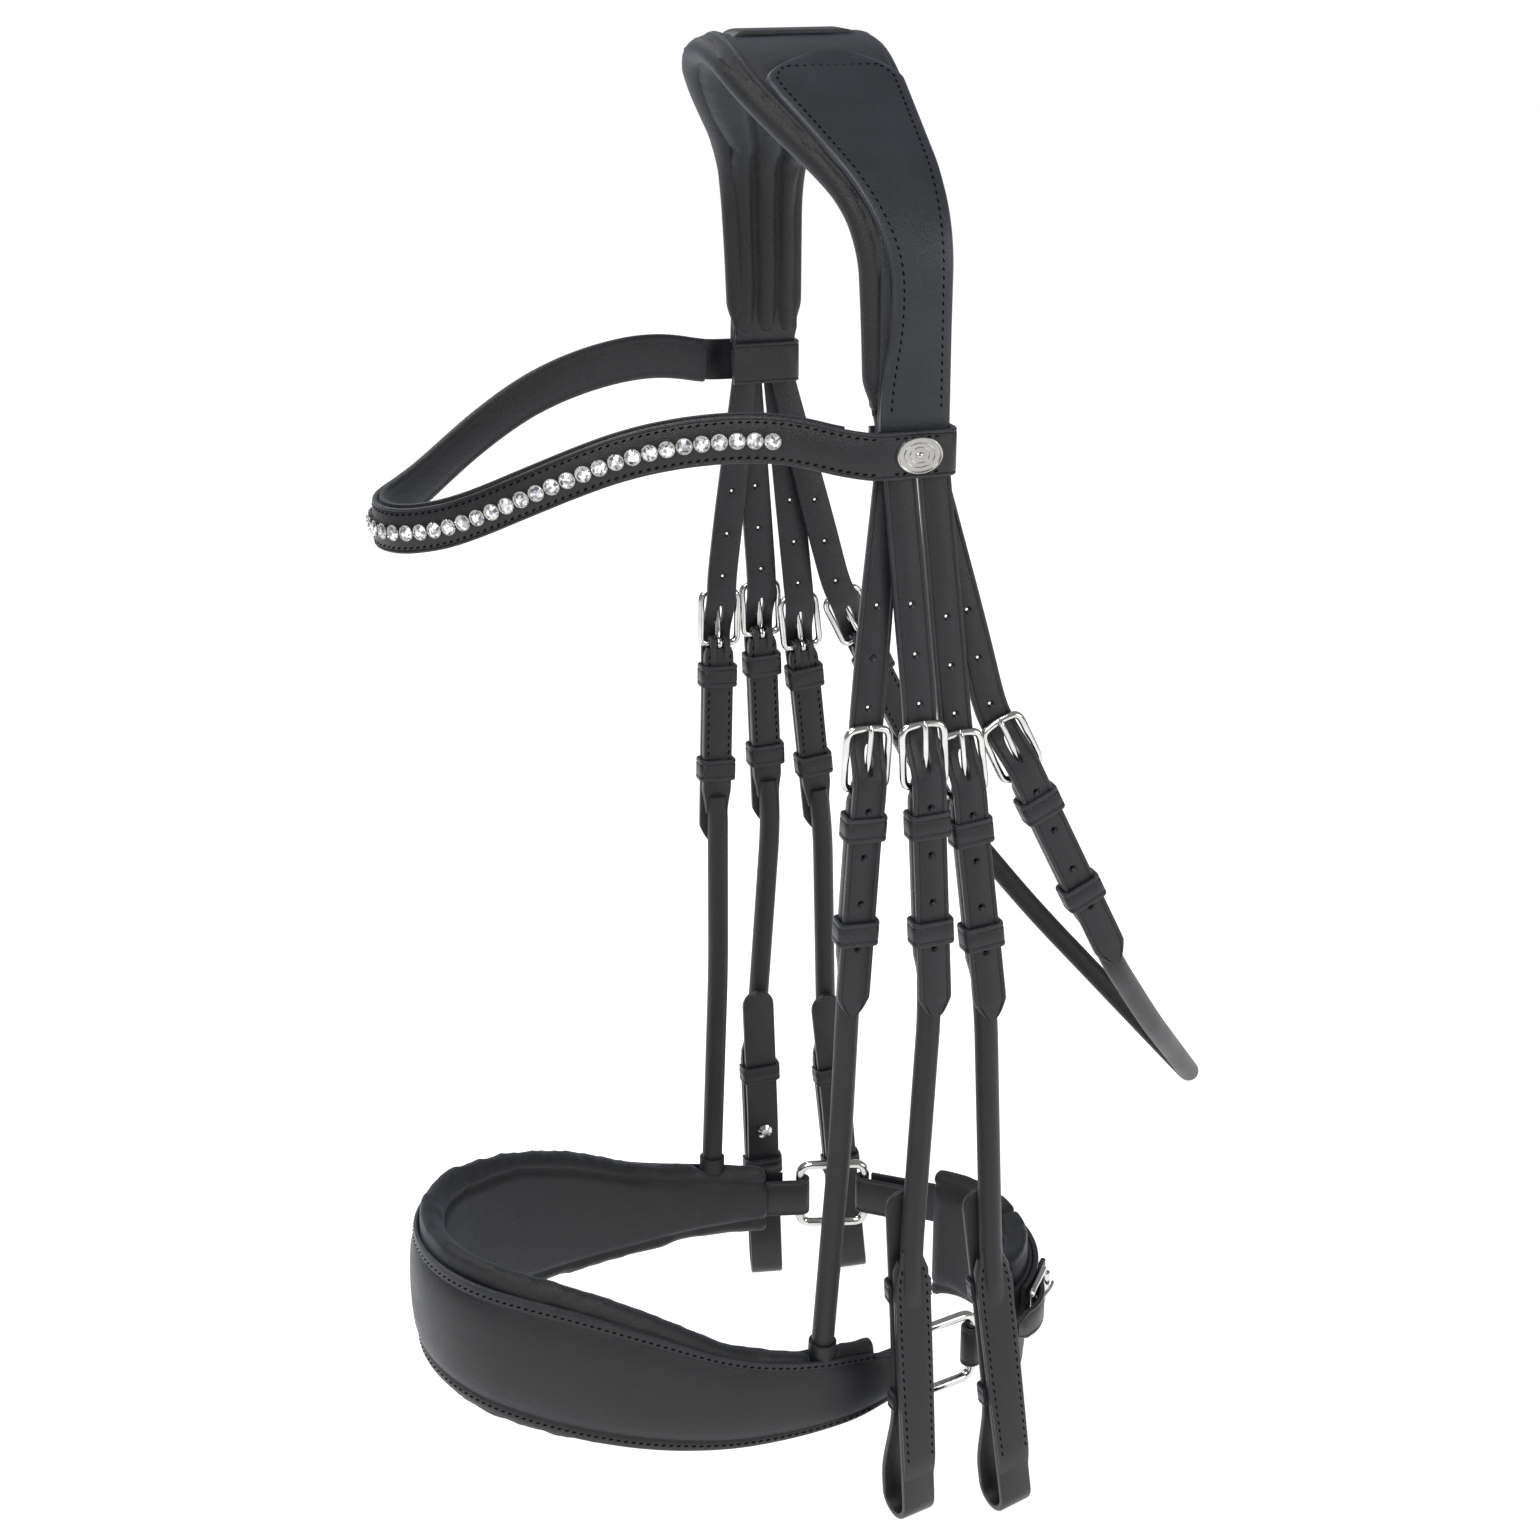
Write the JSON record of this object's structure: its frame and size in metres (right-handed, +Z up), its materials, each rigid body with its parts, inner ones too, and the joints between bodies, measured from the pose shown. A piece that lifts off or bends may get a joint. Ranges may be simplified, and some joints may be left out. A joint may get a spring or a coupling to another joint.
{
  "type": "double bridle",
  "caption": "Padded double bridle: anatomic headpiece, crystal browband, paired cheeks with bit loops, wide crank noseband and rolled throatlash.",
  "frame": {"origin": "middle of the underside of the poll padding", "axes": "+X to the horse's left, -Y towards the nose, +Z up"},
  "size_m": [0.2118, 0.352, 0.5814],
  "materials": {
    "black_leather": "matte, fine grain",
    "soft_leather": "soft napped lining leather",
    "steel": "polished stainless",
    "settings": null,
    "crystal": "cut clear stones"
  },
  "bodies": {
    "headpiece": {"crown_padding": "soft_leather", "crown_panels": "black_leather", "headstall_tabs": "black_leather", "poll_loop": "black_leather", "browband": "black_leather", "browband_lining": "soft_leather", "browband_settings": "settings", "crystals": "crystal"},
    "left_front_cheek": {"left_front_strap_point": "black_leather", "left_front_cheekpiece": "black_leather", "left_front_buckle": "steel", "left_front_keepers": "black_leather", "left_front_hook_stud": "steel"},
    "left_front_tongue": {"left_front_prong": "steel"},
    "left_front_slider": {"left_front_runner": "black_leather"},
    "left_rear_cheek": {"left_rear_strap_point": "black_leather", "left_rear_cheekpiece": "black_leather", "left_rear_buckle": "steel", "left_rear_keepers": "black_leather", "left_rear_hook_stud": "steel"},
    "left_rear_tongue": {"left_rear_prong": "steel"},
    "left_rear_slider": {"left_rear_runner": "black_leather"},
    "right_front_cheek": {"right_front_strap_point": "black_leather", "right_front_cheekpiece": "black_leather", "right_front_buckle": "steel", "right_front_keepers": "black_leather", "right_front_hook_stud": "steel"},
    "right_front_tongue": {"right_front_prong": "steel"},
    "right_front_slider": {"right_front_runner": "black_leather"},
    "right_rear_cheek": {"right_rear_strap_point": "black_leather", "right_rear_cheekpiece": "black_leather", "right_rear_buckle": "steel", "right_rear_keepers": "black_leather", "right_rear_hook_stud": "steel"},
    "right_rear_tongue": {"right_rear_prong": "steel"},
    "right_rear_slider": {"right_rear_runner": "black_leather"},
    "noseband": {"noseband_strap_points": "black_leather", "noseband_buckles": "steel", "noseband_keepers": "black_leather", "noseband_hangers": "black_leather", "noseband_shell": "black_leather", "noseband_padding": "soft_leather", "noseband_rings": "steel", "chin_strap": "black_leather", "chin_pad": "soft_leather", "chin_buckle": "steel"},
    "throatlash": {"throatlash_strap_points": "black_leather", "throatlash_buckles": "steel", "throatlash_keepers": "black_leather", "throatlash_roll": "black_leather"},
    "noseband_left_tongue": {"noseband_left_prong": "steel"},
    "noseband_left_slider": {"noseband_left_runner": "black_leather"},
    "noseband_right_tongue": {"noseband_right_prong": "steel"},
    "noseband_right_slider": {"noseband_right_runner": "black_leather"},
    "throatlash_left_tongue": {"throatlash_left_prong": "steel"},
    "throatlash_left_slider": {"throatlash_left_runner": "black_leather"},
    "throatlash_right_tongue": {"throatlash_right_prong": "steel"},
    "throatlash_right_slider": {"throatlash_right_runner": "black_leather"},
    "chin_tongue": {"chin_prong": "steel"},
    "chin_roller_body": {"chin_roller": "steel"}
  },
  "joints": [
    {"name": "left_front_cheek_swing", "type": "hinge", "parent": "headpiece", "child": "left_front_cheek", "pos_m": [0.0883, 0.0092, -0.133], "axis": [0, -1, 0], "range_deg": [0, 12]},
    {"name": "left_front_tongue_hinge", "type": "hinge", "parent": "left_front_cheek", "child": "left_front_tongue", "pos_m": [0.09757, 0.01899, -0.24497], "axis": [0, 0.999, 0.045], "range_deg": [0, 4]},
    {"name": "left_front_slider_slide", "type": "slide", "parent": "left_front_cheek", "child": "left_front_slider", "axis": [-0.026, -0.0449, 0.9987], "range_m": [-0.008, 0.012]},
    {"name": "left_rear_cheek_swing", "type": "hinge", "parent": "headpiece", "child": "left_rear_cheek", "pos_m": [0.0883, 0.0219, -0.133], "axis": [0, -1, 0], "range_deg": [0, 12]},
    {"name": "left_rear_tongue_hinge", "type": "hinge", "parent": "left_rear_cheek", "child": "left_rear_tongue", "pos_m": [0.09388, 0.03638, -0.25133], "axis": [0, 0.9931, 0.1172], "range_deg": [0, 4]},
    {"name": "left_rear_slider_slide", "type": "slide", "parent": "left_rear_cheek", "child": "left_rear_slider", "axis": [-0.04, -0.1171, 0.9923], "range_m": [-0.008, 0.012]},
    {"name": "right_front_cheek_swing", "type": "hinge", "parent": "headpiece", "child": "right_front_cheek", "pos_m": [-0.0883, 0.0092, -0.133], "axis": [0, 1, 0], "range_deg": [0, 12]},
    {"name": "right_front_tongue_hinge", "type": "hinge", "parent": "right_front_cheek", "child": "right_front_tongue", "pos_m": [-0.09757, 0.01899, -0.24497], "axis": [0, -0.999, -0.045], "range_deg": [0, 4]},
    {"name": "right_front_slider_slide", "type": "slide", "parent": "right_front_cheek", "child": "right_front_slider", "axis": [0.026, -0.0449, 0.9987], "range_m": [-0.008, 0.012]},
    {"name": "right_rear_cheek_swing", "type": "hinge", "parent": "headpiece", "child": "right_rear_cheek", "pos_m": [-0.0883, 0.0219, -0.133], "axis": [0, 1, 0], "range_deg": [0, 12]},
    {"name": "right_rear_tongue_hinge", "type": "hinge", "parent": "right_rear_cheek", "child": "right_rear_tongue", "pos_m": [-0.09388, 0.03638, -0.25133], "axis": [0, -0.9931, -0.1172], "range_deg": [0, 4]},
    {"name": "right_rear_slider_slide", "type": "slide", "parent": "right_rear_cheek", "child": "right_rear_slider", "axis": [0.04, -0.1171, 0.9923], "range_m": [-0.008, 0.012]},
    {"name": "noseband_swing", "type": "hinge", "parent": "headpiece", "child": "noseband", "pos_m": [0, 0.0083, -0.133], "axis": [1, 0, 0], "range_deg": [-10, 0]},
    {"name": "throatlash_swing", "type": "hinge", "parent": "headpiece", "child": "throatlash", "pos_m": [0, 0.0225, -0.133], "axis": [1, 0, 0], "range_deg": [0, 10]},
    {"name": "noseband_left_tongue_hinge", "type": "hinge", "parent": "noseband", "child": "noseband_left_tongue", "pos_m": [0.0919, -0.00196, -0.24586], "axis": [0, 0.9992, -0.039], "range_deg": [0, 4]},
    {"name": "noseband_left_slider_slide", "type": "slide", "parent": "noseband", "child": "noseband_left_slider", "axis": [0.0499, 0.0389, 0.998], "range_m": [-0.008, 0.012]},
    {"name": "noseband_right_tongue_hinge", "type": "hinge", "parent": "noseband", "child": "noseband_right_tongue", "pos_m": [-0.0919, -0.00196, -0.24586], "axis": [0, -0.9992, 0.039], "range_deg": [0, 4]},
    {"name": "noseband_right_slider_slide", "type": "slide", "parent": "noseband", "child": "noseband_right_slider", "axis": [-0.0499, 0.0389, 0.998], "range_m": [-0.008, 0.012]},
    {"name": "throatlash_left_tongue_hinge", "type": "hinge", "parent": "throatlash", "child": "throatlash_left_tongue", "pos_m": [0.0885, 0.06144, -0.24788], "axis": [0, 0.8944, 0.4472], "range_deg": [0, 4]},
    {"name": "throatlash_left_slider_slide", "type": "slide", "parent": "throatlash", "child": "throatlash_left_slider", "axis": [0, -0.4472, 0.8944], "range_m": [-0.008, 0.012]},
    {"name": "throatlash_right_tongue_hinge", "type": "hinge", "parent": "throatlash", "child": "throatlash_right_tongue", "pos_m": [-0.0885, 0.06144, -0.24788], "axis": [0, -0.8944, -0.4472], "range_deg": [0, 4]},
    {"name": "throatlash_right_slider_slide", "type": "slide", "parent": "throatlash", "child": "throatlash_right_slider", "axis": [0, -0.4472, 0.8944], "range_m": [-0.008, 0.012]},
    {"name": "chin_tongue_hinge", "type": "hinge", "parent": "noseband", "child": "chin_tongue", "pos_m": [0.04875, 0.09253, -0.509], "axis": [0, 0, -1], "range_deg": [0, 30]},
    {"name": "chin_roller_spin", "type": "hinge", "parent": "noseband", "child": "chin_roller_body", "pos_m": [0.03141, 0.10607, -0.509], "axis": [0, 0, -1], "continuous": true}
  ],
  "couplings": [
    {"joint": "left_rear_cheek_swing", "follows": "left_front_cheek_swing", "ratio": 1},
    {"joint": "right_rear_cheek_swing", "follows": "right_front_cheek_swing", "ratio": 1}
  ]
}
